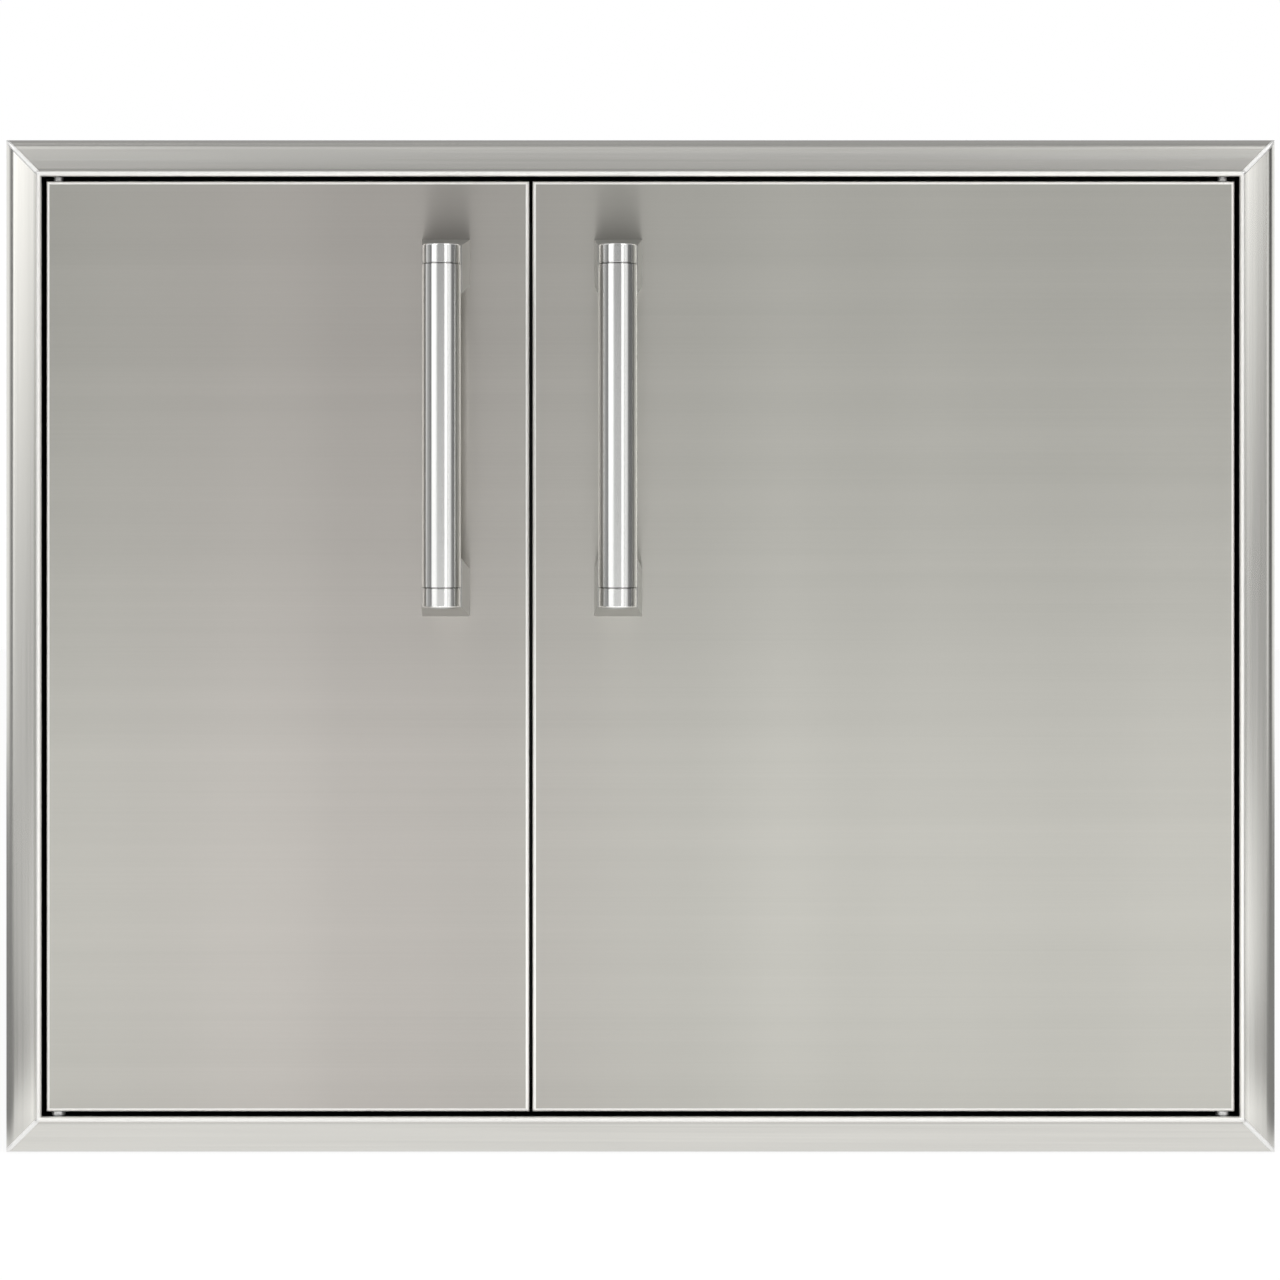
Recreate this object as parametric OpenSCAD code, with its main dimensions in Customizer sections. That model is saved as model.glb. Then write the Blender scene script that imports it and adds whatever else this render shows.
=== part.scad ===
// Built-in dry storage pantry for an outdoor kitchen island.
// A sheet-steel cabinet hangs in a cut-out by its face frame and is closed by two
// flush doors of unequal width on pivot pins, each with a round bar handle.
// X runs to the right, Y runs back into the island and Z runs up. The origin is the
// middle of the cut-out's sill: under the cabinet's floor, at the back of the frame.

/* [Face frame] */
// Overall width of the face frame
frame_w = 784.2; // [640:0.2:1100]
// Overall height of the face frame
frame_h = 625.4; // [520:0.2:900]
// Width of one rail, seen square on
rail_w = 23.4; // [22:0.2:34]
// How far the frame stands proud of the island's face
frame_proud = 19; // [18:0.5:22]
// Sheet thickness of the rails
rail_t = 1.2; // [0.8:0.1:1.5]
// Radius of a rail's rounded outer shoulder
shoulder_r = 8; // [4:0.5:9.5]
// Slope of a rail's face, which rises from the shoulder to the bead
face_slope = 12; // [6:1:16]
// Radius of the bead along a rail's inner edge
bead_r = 1.6; // [1.4:0.1:2]

/* [Doors] */
// Width of the left door, with the right door taking the rest
left_door_w = 297.4; // [240:0.2:400]
// Gap between a door and the frame
edge_gap = 2.8; // [2.6:0.1:4]
// Gap between the two doors
middle_gap = 2; // [1.5:0.1:4]
// Thickness of a door, from face to liner
door_t = 19; // [18:0.5:26]
// How far a door's face sits behind the front of the frame
door_recess = 3; // [2:0.5:3.5]
// Sheet thickness of a door's outer skin
skin_t = 1.2; // [0.8:0.1:1.5]
// Outside bend radius around a door's face
bend_r = 2; // [1.6:0.1:3]
// Sheet thickness of a door's liner
liner_t = 1; // [0.8:0.1:1.5]
// Depth of the rim around a door's liner
liner_rim = 5; // [3:0.5:5]

/* [Hinge pivots] */
// Distance of a pivot's axis from its door's hinge edge
pivot_inset = 6.5; // [6.2:0.1:8]
// Distance of a pivot's axis behind its door's face
pivot_depth = 7; // [6.5:0.5:7]
// Diameter of a pivot pin
pin_d = 6; // [5:0.5:6]
// Length of a pin inside its door
pin_reach = 15; // [10:1:18]
// Wall of the bushing around a pin
bushing_wall = 1.35; // [1:0.05:1.4]
// Width of the ring of a washer under a door
washer_ring = 1.2; // [0.8:0.1:2]
// Height of the block that holds a pin inside a rail
pivot_block_h = 7; // [5:0.5:7.5]
// Height of the socket block inside a door's corner
socket_h = 20; // [19:1:30]

/* [Handles] */
// Length of a handle bar over its caps
handle_len = 218; // [160:1:300]
// Diameter of a handle bar
handle_d = 23.4; // [20:0.2:27]
// Wall of a handle bar's tube
handle_wall = 1.4; // [1:0.1:2]
// Distance of a handle's axis in front of its door
handle_standoff = 44; // [38:1:60]
// Distance of the left handle's axis from its door's free edge
left_handle_inset = 51.2; // [40:0.1:80]
// Distance of the right handle's axis from its door's free edge
right_handle_inset = 52.8; // [40:0.1:80]
// Drop from a door's top edge to its handle's upper end
handle_drop = 43; // [30:0.5:120]
// Length of a handle's end cap outside the tube
cap_len = 11; // [8:0.5:16]
// How much slimmer a cap is than the tube, on diameter
cap_step = 0.6; // [0.2:0.1:1]
// Width of the groove between cap and tube
groove_w = 0.8; // [0.5:0.1:1.5]
// Depth of the groove between cap and tube
groove_depth = 0.9; // [0.5:0.1:1.3]
// Length of a cap's plug inside the tube
plug_len = 18; // [14:1:26]
// Width of a post's foot on the door
foot_w = 29.5; // [26:0.5:36]
// Height of a post
post_h = 29; // [26:0.5:34]
// How far a post's foot stands past the bar's end
foot_splay = 6.9; // [3:0.1:10]
// Distance of a handle screw from the bar's end
handle_screw_drop = 17; // [16:0.5:18]
// Diameter of a handle screw's shank
handle_screw_d = 5.9; // [4.9:0.1:6]

/* [Cabinet] */
// Depth of the cabinet behind the island's face
cabinet_d = 508; // [380:1:620]
// Sheet thickness of the cabinet
cabinet_t = 1.2; // [0.8:0.1:1.5]
// Width of the flange that the back panel is riveted to
rear_flange_w = 14; // [12:1:20]
// Rivets along each long side of the back panel
rivets_across = 5; // [3:2:9]
// Rivets along each short side of the back panel
rivets_up = 4; // [2:1:7]
// Diameter of a rivet's shank
rivet_d = 4; // [3:0.5:5]

/* [Door stops and seals] */
// Width of the stop strip around the mouth
stop_w = 26; // [25:0.5:30]
// Depth of a stop strip's inner return
stop_return = 16; // [12:1:24]
// Width of the door seal
seal_w = 7; // [5:0.5:7]
// Thickness of the door seal
seal_t = 5; // [4:0.5:8]
// Distance of the seal from the cabinet's wall
seal_inset = 17; // [16.5:0.5:18]

/* [Shelves] */
// Depth of a shelf, front to back
shelf_d = 430; // [280:1:440]
// Sheet thickness of a shelf
shelf_t = 1.2; // [0.8:0.1:2]
// Depth of the turned-down rim of a shelf
shelf_rim = 18; // [12:1:24]
// Thickness of a slotted shelf standard
standard_t = 3; // [2:0.5:5]
// Width of a slotted shelf standard
standard_w = 16; // [14:1:20]
// Spacing of the slots in a shelf standard
slot_pitch = 50; // [40:2:80]
// Slots in each shelf standard
slot_count = 9; // [3:1:9]
// Slot that carries the lower shelves, counted from the bottom
lower_slot_number = 2; // [1:1:3]
// Slot that carries the upper shelves, counted from the bottom
upper_slot_number = 6; // [5:1:7]
// Distance of the slots' centre line pair from the shelf's ends
standard_inset = 50; // [30:1:80]

/* [Catches] */
// Width of a magnetic catch
catch_w = 46; // [30:1:70]
// Height of a magnetic catch
catch_h = 14; // [11:1:20]
// Depth of a magnetic catch
catch_d = 17; // [12:1:24]
// Distance of a catch's centre from its door's free edge
catch_inset = 60; // [50:1:90]
// Thickness of a strike plate on a door's liner
strike_t = 1.5; // [1:0.1:2]

/* [Fixing holes] */
// Diameter of the fixing holes in the cabinet's sides
fixing_d = 6.5; // [4:0.5:9]
// Spacing of the fixing holes, front to back
fixing_run = 380; // [200:5:420]
// Spacing of the fixing holes, up and down
fixing_rise = 460; // [200:5:480]
// Distance of the front fixing holes behind the island's face
fixing_front = 60; // [40:5:80]

/* [Fits] */
// Radial running clearance of a pivot pin in its bushing
pin_fit = 0.05; // [0.02:0.01:0.08]
// Clearance between neighbouring pieces on different bodies
clear = 0.3; // [0.3:0.05:0.5]
// Clearance between nested sheet pieces
sheet_fit = 0.1; // [0.05:0.05:0.2]
// Radial clearance around a screw
screw_fit = 0.25; // [0.1:0.05:0.4]

/* [Hidden] */
$fn = 64;
open_w = frame_w - 2 * rail_w;
open_h = frame_h - 2 * rail_w;
door_y = door_recess - frame_proud;
// Height at which the shoulder starts, so that the face runs up into the middle of the bead
edge_h = frame_proud - bead_r - shoulder_r / cos(face_slope) - (rail_w - bead_r - shoulder_r) * tan(face_slope);
door_h = open_h - 2 * edge_gap;
left_edge_x = edge_gap - open_w / 2;
right_edge_x = open_w / 2 - edge_gap;
right_door_w = open_w - 2 * edge_gap - middle_gap - left_door_w;
divider_x = left_edge_x + left_door_w + middle_gap / 2;
pivot_v = frame_proud - door_recess - pivot_depth;
pin_r = pin_d / 2;
bushing_r = pin_r + pin_fit + bushing_wall;
washer_r = pin_r + washer_ring;
stop_y = door_y + door_t + clear + seal_t;
stop_inner_w = open_w / 2 - stop_w;
stop_inner_h = open_h / 2 - stop_w;
handle_r = handle_d / 2;
handle_top = door_h - handle_drop;
post_overlap = 4;
post_reach = handle_standoff - post_overlap;
slot_zero = -slot_pitch * (slot_count - 1) / 2;
standard_end = 20;
standard_h = slot_pitch * (slot_count - 1) + 2 * standard_end;
clip_reach = 14;
clip_h = 12;
clip_t = 2;
slot_h = 6;
slot_w = 5;
shelf_setback = 14;
catch_wall = 3;
stiffener_gap = 10;
shelf_front = stop_y + stop_return + shelf_setback;
left_bay_x = [-open_w / 2, divider_x - cabinet_t];
right_bay_x = [divider_x + cabinet_t, open_w / 2];
brushed = "lightgray";
polished = "whitesmoke";
inner = "silver";
seal_black = "dimgray";
nylon = "gainsboro";
// Every piece is drawn about the middle of the face frame and then raised onto the sill
sill_rise = open_h / 2 + cabinet_t;

// Shared shapes

// Outline of a rail's section, drawn a given depth inside its outer face.
// Its first axis runs inward from the outer edge and its second out from the wall.
module rail_outline(depth, back) {
    translate([depth, back])
        square([rail_w - bead_r - depth, edge_h - back]);
    intersection() {
        translate([shoulder_r, edge_h])
            rotate(face_slope) {
                circle(shoulder_r - depth);
                translate([0, -rail_w])
                    square([2 * rail_w, rail_w + shoulder_r - depth]);
            }
        translate([-1, back])
            square([1 + rail_w - bead_r, 2 * frame_proud]);
    }
}

module rail_section() {
    bead_v = frame_proud - bead_r;
    difference() {
        union() {
            rail_outline(0, 0);
            translate([rail_w - bead_r, bead_v])
                circle(bead_r);
            translate([rail_w - bead_r, 0])
                square([bead_r, bead_v]);
        }
        rail_outline(rail_t, -1);
        translate([rail_w - bead_r - 1, -1])
            square([bead_r + 1 - rail_t, 1 + bead_v - bead_r]);
        translate([rail_w - rail_t - 1, -1])
            square([rail_t + 2, cabinet_t + 1]);
    }
}

// A straight rail with mitred ends, standing on its outer edge along X
module rail(length) {
    intersection() {
        translate([-length / 2, 0, 0])
            rotate([180, -90, 0])
                linear_extrude(length)
                    rail_section();
        mitred_slab(length, 0, rail_w, frame_proud + 1, -frame_proud - 1);
    }
}

// A slab in the frame's plane with 45 degree ends, from one distance in to another
module mitred_slab(length, from_u, to_u, thickness, y) {
    translate([0, y + thickness, 0])
        rotate([90, 0, 0])
            linear_extrude(thickness)
                polygon([
                    [-length / 2 + from_u, from_u], [length / 2 - from_u, from_u],
                    [length / 2 - to_u, to_u], [-length / 2 + to_u, to_u]
                ]);
}

// Places a piece that stands on the bottom of the frame at one of its four sides
module on_side(side) {
    if (side == "bottom") translate([0, 0, -frame_h / 2]) children();
    if (side == "top") translate([0, 0, frame_h / 2]) rotate([0, 180, 0]) children();
    if (side == "left") translate([-frame_w / 2, 0, 0]) rotate([0, 90, 0]) children();
    if (side == "right") translate([frame_w / 2, 0, 0]) rotate([0, -90, 0]) children();
}

// The flange that a cabinet sheet turns outward behind one rail
module front_flange(length) {
    mitred_slab(length, rail_t + clear, rail_w - cabinet_t, cabinet_t, -cabinet_t);
}

// Places a door's piece, drawn with its hinge edge at X zero and its face at Y zero
module on_door(side) {
    if (side == "left")
        translate([left_edge_x, door_y, -door_h / 2]) children();
    if (side == "right")
        translate([right_edge_x, door_y, -door_h / 2]) mirror([1, 0, 0]) children();
}

// A block whose front edges are rounded all round
module soft_block(w, d, h, r) {
    intersection() {
        linear_extrude(h)
            front_rounded(w, d, r);
        translate([w, 0, 0])
            rotate([0, -90, 0])
                linear_extrude(w)
                    front_rounded(h, d, r);
    }
}

module front_rounded(w, d, r) {
    translate([0, r])
        square([w, d - r]);
    translate([r, 0])
        square([w - 2 * r, d]);
    for (x = [r, w - r])
        translate([x, r])
            circle(r);
}

// A sheet tray with its face at Y zero and its rim running back
module tray(w, d, h, t, r) {
    difference() {
        soft_block(w, d, h, r);
        translate([t, t, t])
            soft_block(w - 2 * t, d, h - 2 * t, r - t);
    }
}

// A round hole or pin along Y
module along_y(r, from_y, to_y) {
    translate([0, to_y, 0])
        rotate([90, 0, 0])
            cylinder(r = r, h = to_y - from_y);
}

// Face frame

module frame_top_rail() {
    color(polished) difference() {
        on_side("top") rail(frame_w);
        pivot_holes();
    }
}

module frame_bottom_rail() {
    color(polished) difference() {
        on_side("bottom") rail(frame_w);
        pivot_holes();
    }
}

module frame_left_rail() {
    color(polished) on_side("left") rail(frame_h);
}

module frame_right_rail() {
    color(polished) on_side("right") rail(frame_h);
}

// Hinge pivots

// Repeats a piece at the four pivots, pointing out of the doors' ends
module at_pivots() {
    for (side = ["left", "right"])
        on_door(side) translate([pivot_inset, pivot_depth, 0]) {
            translate([0, 0, door_h]) children();
            mirror([0, 0, 1]) children();
        }
}

module pivot_holes() {
    at_pivots() translate([0, 0, edge_gap - 1])
        cylinder(r = pin_r, h = rail_t + 2);
}

module pivot_blocks() {
    front = pin_r + 2;
    color(inner) at_pivots() difference() {
        translate([-pivot_inset, -front, edge_gap + rail_t])
            cube([2 * pivot_inset, front + pivot_v - cabinet_t, pivot_block_h]);
        cylinder(r = pin_r, h = edge_gap + rail_t + pivot_block_h + 1);
    }
}

module pivot_pins() {
    color(polished) at_pivots() translate([0, 0, -pin_reach])
        cylinder(r = pin_r, h = pin_reach + edge_gap + rail_t + pivot_block_h);
}

// The washers that carry the doors stand on the bottom rail only
module pivot_washers() {
    color(polished) for (side = ["left", "right"])
        on_door(side) translate([pivot_inset, pivot_depth, -edge_gap]) difference() {
            cylinder(r = washer_r, h = edge_gap - clear);
            translate([0, 0, -1])
                cylinder(r = pin_r + pin_fit, h = edge_gap + 1);
        }
}

// Repeats a piece at one door's two bushings, in the door's own frame
module at_bushings() {
    translate([pivot_inset, pivot_depth, 0]) children();
    translate([pivot_inset, pivot_depth, door_h]) mirror([0, 0, 1]) children();
}

module pivot_sockets(side) {
    color(inner) on_door(side) difference() {
        for (z = [skin_t, door_h - skin_t - socket_h])
            translate([skin_t, bend_r, z])
                cube([2 * pivot_inset - skin_t, door_t - bend_r - skin_t - liner_rim, socket_h]);
        at_bushings() cylinder(r = bushing_r, h = skin_t + socket_h + 1);
    }
}

module pivot_bushings(side) {
    color(nylon) on_door(side) at_bushings() difference() {
        cylinder(r = bushing_r, h = skin_t + socket_h);
        translate([0, 0, -1])
            cylinder(r = pin_r + pin_fit, h = skin_t + socket_h + 2);
    }
}

// Doors

function door_w(side) = side == "left" ? left_door_w : right_door_w;

function handle_x(side) = door_w(side) - (side == "left" ? left_handle_inset : right_handle_inset);

module door_skin(side) {
    color(brushed) on_door(side) difference() {
        tray(door_w(side), door_t, door_h, skin_t, bend_r);
        at_bushings() translate([0, 0, -1])
            cylinder(r = bushing_r, h = skin_t + 2);
        at_handle_screws(side) along_y(handle_screw_d / 2 + screw_fit, -1, skin_t + 1);
    }
}

module door_liner(side) {
    lap = skin_t + sheet_fit;
    color(inner) on_door(side) translate([lap, door_t, door_h - lap])
        rotate([180, 0, 0])
            tray(door_w(side) - 2 * lap, liner_rim, door_h - 2 * lap, liner_t, bend_r);
}

// An upright channel that ties a door's skin to its liner
module door_stiffener(side) {
    channel_w = 40;
    inside_d = door_t - skin_t - liner_t;
    x = (door_w(side) - channel_w) / 2;
    z = socket_h + stiffener_gap;
    color(inner) on_door(side) translate([x, skin_t, z]) difference() {
        cube([channel_w, inside_d, door_h - 2 * z]);
        translate([skin_t, skin_t, -1])
            cube([channel_w - 2 * skin_t, inside_d, door_h - 2 * z + 2]);
    }
}

module strike_plate(side) {
    margin = 2;
    color(polished) on_door(side)
        translate([door_w(side) - catch_inset - catch_w / 2 + margin, door_t, catch_z + door_h / 2 + margin])
            cube([catch_w - 2 * margin, strike_t, catch_h - 2 * margin]);
}

// Handles

// Moves a piece to the middle of a door's handle axis
module on_handle(side) {
    on_door(side)
        translate([handle_x(side), -handle_standoff, handle_top - handle_len / 2]) children();
}

// Repeats a piece at both ends of a bar, with Z zero at the bar's end
module at_bar_ends() {
    translate([0, 0, handle_len / 2]) children();
    mirror([0, 0, 1]) translate([0, 0, handle_len / 2]) children();
}

module at_handle_screws(side) {
    for (z = [handle_top - handle_screw_drop, handle_top - handle_len + handle_screw_drop])
        translate([handle_x(side), 0, z]) children();
}

module handle_tube(side) {
    length = handle_len - 2 * (cap_len + groove_w);
    color(polished) on_handle(side) difference() {
        translate([0, 0, -length / 2])
            cylinder(r = handle_r, h = length);
        translate([0, 0, -length / 2 - 1])
            cylinder(r = handle_r - handle_wall, h = length + 2);
        at_bar_ends() translate([0, 0, -handle_screw_drop])
            along_y(handle_screw_d / 2 + screw_fit, 0, handle_r + 1);
    }
}

module handle_caps(side) {
    cap_r = handle_r - cap_step / 2;
    round_r = 1;
    color(polished) on_handle(side) at_bar_ends() difference() {
        rotate_extrude() {
            translate([0, -cap_len])
                square([cap_r, cap_len - round_r]);
            translate([0, -round_r - 1])
                square([cap_r - round_r, round_r + 1]);
            intersection() {
                translate([cap_r - round_r, -round_r])
                    circle(round_r);
                translate([0, -2 * round_r])
                    square([cap_r, 2 * round_r]);
            }
            translate([0, -cap_len - groove_w])
                square([handle_r - groove_depth, groove_w]);
            translate([0, -cap_len - groove_w - plug_len])
                square([handle_r - handle_wall - sheet_fit, plug_len]);
        }
        translate([0, 0, -handle_screw_drop])
            along_y(handle_screw_d / 2 + pin_fit, -1, handle_r);
    }
}

// A post that leans from its wide foot on the door to the back of the bar.
// It is drawn for the bar's upper end, with Z zero at the bar's end and Y zero on the door.
module handle_post() {
    neck_w = 2 * sqrt(pow(handle_r, 2) - pow(post_overlap, 2)) + 2;
    difference() {
        intersection() {
            translate([-foot_w / 2, 0, 0])
                rotate([90, 0, 90])
                    linear_extrude(foot_w)
                        polygon([
                            [0, foot_splay - post_h], [0, foot_splay], [-post_reach, 0], [-post_reach, -post_h]
                        ]);
            translate([0, 0, -post_h])
                linear_extrude(post_h + foot_splay)
                    polygon([
                        [-foot_w / 2, 0], [foot_w / 2, 0], [neck_w / 2, -post_reach], [-neck_w / 2, -post_reach]
                    ]);
        }
        translate([0, -handle_standoff, -post_h - 1])
            cylinder(r = handle_r, h = post_h + foot_splay + 2);
        translate([0, 0, -handle_screw_drop])
            along_y(handle_screw_d / 2 + screw_fit, -handle_standoff, 1);
    }
}

module handle_upper_post(side) {
    color(polished) on_handle(side) translate([0, handle_standoff, handle_len / 2])
        handle_post();
}

module handle_lower_post(side) {
    color(polished) on_handle(side) translate([0, handle_standoff, -handle_len / 2]) mirror([0, 0, 1])
        handle_post();
}

module handle_backing(side) {
    plate_w = foot_w;
    plate_t = 2;
    color(inner) on_door(side) difference() {
        translate([handle_x(side) - plate_w / 2, skin_t, handle_top - handle_len])
            cube([plate_w, plate_t, handle_len]);
        at_handle_screws(side) along_y(handle_screw_d / 2 + screw_fit, 0, skin_t + plate_t + 1);
    }
}

module handle_screws(side) {
    head_y = skin_t + 2;
    head_h = 3.5;
    bite = 8;
    tip = handle_standoff - handle_r + handle_wall + bite;
    color(polished) on_door(side) at_handle_screws(side) {
        along_y(handle_screw_d / 2, -tip, head_y);
        along_y(handle_screw_d, head_y, head_y + head_h);
    }
}

// Cabinet

module cabinet_left_side() {
    color(inner) side_sheet("left");
}

module cabinet_right_side() {
    color(inner) mirror([1, 0, 0]) side_sheet("left");
}

module side_sheet(side) {
    outer_h = open_h + 2 * cabinet_t;
    difference() {
        union() {
            on_side(side) front_flange(frame_h);
            translate([-open_w / 2 - cabinet_t, -cabinet_t, -outer_h / 2])
                cube([cabinet_t, cabinet_t + cabinet_d, outer_h]);
            translate([-open_w / 2 - cabinet_t, cabinet_d - cabinet_t, -open_h / 2])
                cube([rear_flange_w + cabinet_t, cabinet_t, open_h]);
        }
        for (y = [fixing_front, fixing_front + fixing_run], z = [-fixing_rise / 2, fixing_rise / 2])
            translate([-open_w / 2 - cabinet_t - 1, y, z])
                rotate([0, 90, 0])
                    cylinder(d = fixing_d, h = cabinet_t + 2);
        at_back_rivets() along_y(rivet_d / 2, -cabinet_t - 1, 1);
    }
}

module cabinet_top() {
    color(inner) level_sheet();
}

module cabinet_bottom() {
    color(inner) mirror([0, 0, 1]) level_sheet();
}

module level_sheet() {
    flange_w = open_w - 2 * rear_flange_w;
    difference() {
        union() {
            on_side("top") front_flange(frame_w);
            translate([-open_w / 2, -cabinet_t, open_h / 2])
                cube([open_w, cabinet_t + cabinet_d, cabinet_t]);
            translate([-flange_w / 2, cabinet_d - cabinet_t, open_h / 2 - rear_flange_w])
                cube([flange_w, cabinet_t, rear_flange_w + cabinet_t]);
        }
        at_back_rivets() along_y(rivet_d / 2, -cabinet_t - 1, 1);
    }
}

module cabinet_back() {
    color(inner) difference() {
        translate([-open_w / 2 - cabinet_t, cabinet_d, -open_h / 2 - cabinet_t])
            cube([open_w + 2 * cabinet_t, cabinet_t, open_h + 2 * cabinet_t]);
        at_back_rivets() along_y(rivet_d / 2, -1, cabinet_t + 1);
    }
}

// Repeats a piece at the rivets round the back panel, with Y zero on the panel's inner face
module at_back_rivets() {
    edge = rear_flange_w / 2;
    across = open_w - 8 * edge;
    up = open_h - 8 * edge;
    for (i = [0 : rivets_across - 1], s = [-1, 1])
        translate([across * (i / (rivets_across - 1) - 0.5), cabinet_d, s * (open_h / 2 - edge)])
            children();
    for (i = [0 : rivets_up - 1], s = [-1, 1])
        translate([s * (open_w / 2 - edge), cabinet_d, up * (i / (rivets_up - 1) - 0.5)])
            children();
}

module back_rivets() {
    head_h = 1.2;
    tail_h = 2;
    color(polished) at_back_rivets() {
        along_y(rivet_d / 2, -cabinet_t, cabinet_t);
        along_y(rivet_d, cabinet_t, cabinet_t + head_h);
        along_y(rivet_d * 0.7, -cabinet_t - tail_h, -cabinet_t);
    }
}

// An upright wall with a T front that both doors close against
module divider() {
    front_h = 2 * stop_inner_h;
    color(inner) {
        translate([divider_x - cabinet_t, stop_y, -front_h / 2])
            cube([2 * cabinet_t, stop_return, front_h]);
        translate([divider_x - cabinet_t, stop_y + stop_return, -open_h / 2])
            cube([2 * cabinet_t, cabinet_d - cabinet_t - stop_y - stop_return, open_h]);
        translate([divider_x - stop_w, stop_y, -front_h / 2])
            cube([2 * stop_w, cabinet_t, front_h]);
    }
}

// Door stops and seals

// A strip whose flange faces the doors and whose inner edge turns back
module stop_strip(length) {
    cube([length, cabinet_t, stop_w]);
    translate([0, 0, stop_w - cabinet_t])
        cube([length, stop_return, cabinet_t]);
}

module stop_bottom_strip() {
    color(inner) translate([-open_w / 2, stop_y, -open_h / 2]) stop_strip(open_w);
}

module stop_top_strip() {
    color(inner) mirror([0, 0, 1]) translate([-open_w / 2, stop_y, -open_h / 2]) stop_strip(open_w);
}

module stop_left_strip() {
    color(inner) translate([-open_w / 2, stop_y, stop_inner_h])
        rotate([0, 90, 0]) stop_strip(2 * stop_inner_h);
}

module stop_right_strip() {
    color(inner) mirror([1, 0, 0]) translate([-open_w / 2, stop_y, stop_inner_h])
        rotate([0, 90, 0]) stop_strip(2 * stop_inner_h);
}

// A rubber ring on the stop strips, from one X to another
module door_seal(from_x, to_x) {
    h = open_h - 2 * seal_inset;
    color(seal_black) translate([from_x, stop_y - seal_t, -h / 2]) difference() {
        cube([to_x - from_x, seal_t, h]);
        translate([seal_w, -1, seal_w])
            cube([to_x - from_x - 2 * seal_w, seal_t + 2, h - 2 * seal_w]);
    }
}

module left_door_seal() {
    door_seal(seal_inset - open_w / 2, divider_x - seal_inset);
}

module right_door_seal() {
    door_seal(divider_x + seal_inset, open_w / 2 - seal_inset);
}

// Shelves

standard_front = shelf_front + standard_inset;
standard_rear = shelf_front + shelf_d - standard_inset;

// Repeats a wall piece at the four standards of each bay, with X zero on the wall and pointing inward
module at_standards() {
    for (bay = [left_bay_x, right_bay_x], y = [standard_front, standard_rear]) {
        translate([bay[0], y, 0]) children();
        translate([bay[1], y, 0]) mirror([1, 0, 0]) children();
    }
}

module shelf_standards() {
    color(inner) at_standards() difference() {
        translate([0, -standard_w / 2, -standard_h / 2])
            cube([standard_t, standard_w, standard_h]);
        for (i = [0 : slot_count - 1])
            translate([-1, -slot_w / 2, slot_zero + i * slot_pitch - slot_h / 2])
                cube([standard_t + 2, slot_w, slot_h]);
    }
}

// Height of the slot that a shelf's clips hang in
function slot_z(i) = slot_zero + (i - 1) * slot_pitch;

module shelf_clips() {
    tongue_w = slot_w - 2 * sheet_fit;
    tongue_h = slot_h - 2 * sheet_fit;
    color(polished) at_standards() for (i = [lower_slot_number, upper_slot_number])
        translate([0, 0, slot_z(i) - slot_h / 2]) {
            translate([sheet_fit, -tongue_w / 2, sheet_fit])
                cube([standard_t - sheet_fit, tongue_w, tongue_h]);
            translate([standard_t, -standard_w / 2, slot_h - clip_h])
                cube([clip_t, standard_w, clip_h - clip_t]);
            translate([standard_t, -standard_w / 2, slot_h - clip_t])
                cube([clip_reach, standard_w, clip_t]);
        }
}

// A shelf on the clips of one slot: a flat sheet with a rim turned down all round
module shelf(bay, i) {
    x0 = bay[0] + standard_t + clip_t + clear;
    w = bay[1] - bay[0] - 2 * (standard_t + clip_t + clear);
    top = slot_z(i) + slot_h / 2 + shelf_t;
    color(inner) translate([x0, shelf_front, top - shelf_rim]) difference() {
        cube([w, shelf_d, shelf_rim]);
        translate([shelf_t, shelf_t, -1])
            cube([w - 2 * shelf_t, shelf_d - 2 * shelf_t, shelf_rim - shelf_t + 1]);
        for (y = [standard_inset, shelf_d - standard_inset])
            translate([-1, y - standard_w / 2 - clear, -1])
                cube([w + 2, standard_w + 2 * clear, shelf_rim - shelf_t + 1]);
    }
}

// Catches

catch_z = stop_inner_h - catch_h;
catch_y = door_y + door_t + strike_t + clear;

// Repeats a piece at both catches, with X zero at the catch's middle and Y zero at its front
module at_catches() {
    for (x = [left_edge_x + left_door_w - catch_inset, right_edge_x - right_door_w + catch_inset])
        translate([x, catch_y, catch_z]) children();
}

module catch_housings() {
    color(nylon) at_catches() difference() {
        translate([-catch_w / 2, 0, 0])
            cube([catch_w, catch_d, catch_h]);
        translate([-catch_w / 2 + catch_wall, -1, catch_wall])
            cube([catch_w - 2 * catch_wall, catch_d - catch_wall + 1, catch_h - 2 * catch_wall]);
    }
}

module catch_magnets() {
    wall = catch_wall + sheet_fit;
    color("slategray") at_catches() translate([-catch_w / 2 + wall, 0, wall])
        cube([catch_w - 2 * wall, catch_d - wall, catch_h - 2 * wall]);
}

module on_sill() {
    translate([0, 0, sill_rise]) children();
}

on_sill() frame_top_rail();
on_sill() frame_bottom_rail();
on_sill() frame_left_rail();
on_sill() frame_right_rail();
on_sill() cabinet_left_side();
on_sill() cabinet_right_side();
on_sill() cabinet_top();
on_sill() cabinet_bottom();
on_sill() cabinet_back();
on_sill() divider();
on_sill() stop_top_strip();
on_sill() stop_bottom_strip();
on_sill() stop_left_strip();
on_sill() stop_right_strip();
on_sill() left_door_seal();
on_sill() right_door_seal();
on_sill() shelf_standards();
on_sill() shelf_clips();
on_sill() shelf(left_bay_x, upper_slot_number);  // left_upper_shelf
on_sill() shelf(left_bay_x, lower_slot_number);  // left_lower_shelf
on_sill() shelf(right_bay_x, upper_slot_number);  // right_upper_shelf
on_sill() shelf(right_bay_x, lower_slot_number);  // right_lower_shelf
on_sill() catch_housings();
on_sill() catch_magnets();
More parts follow.
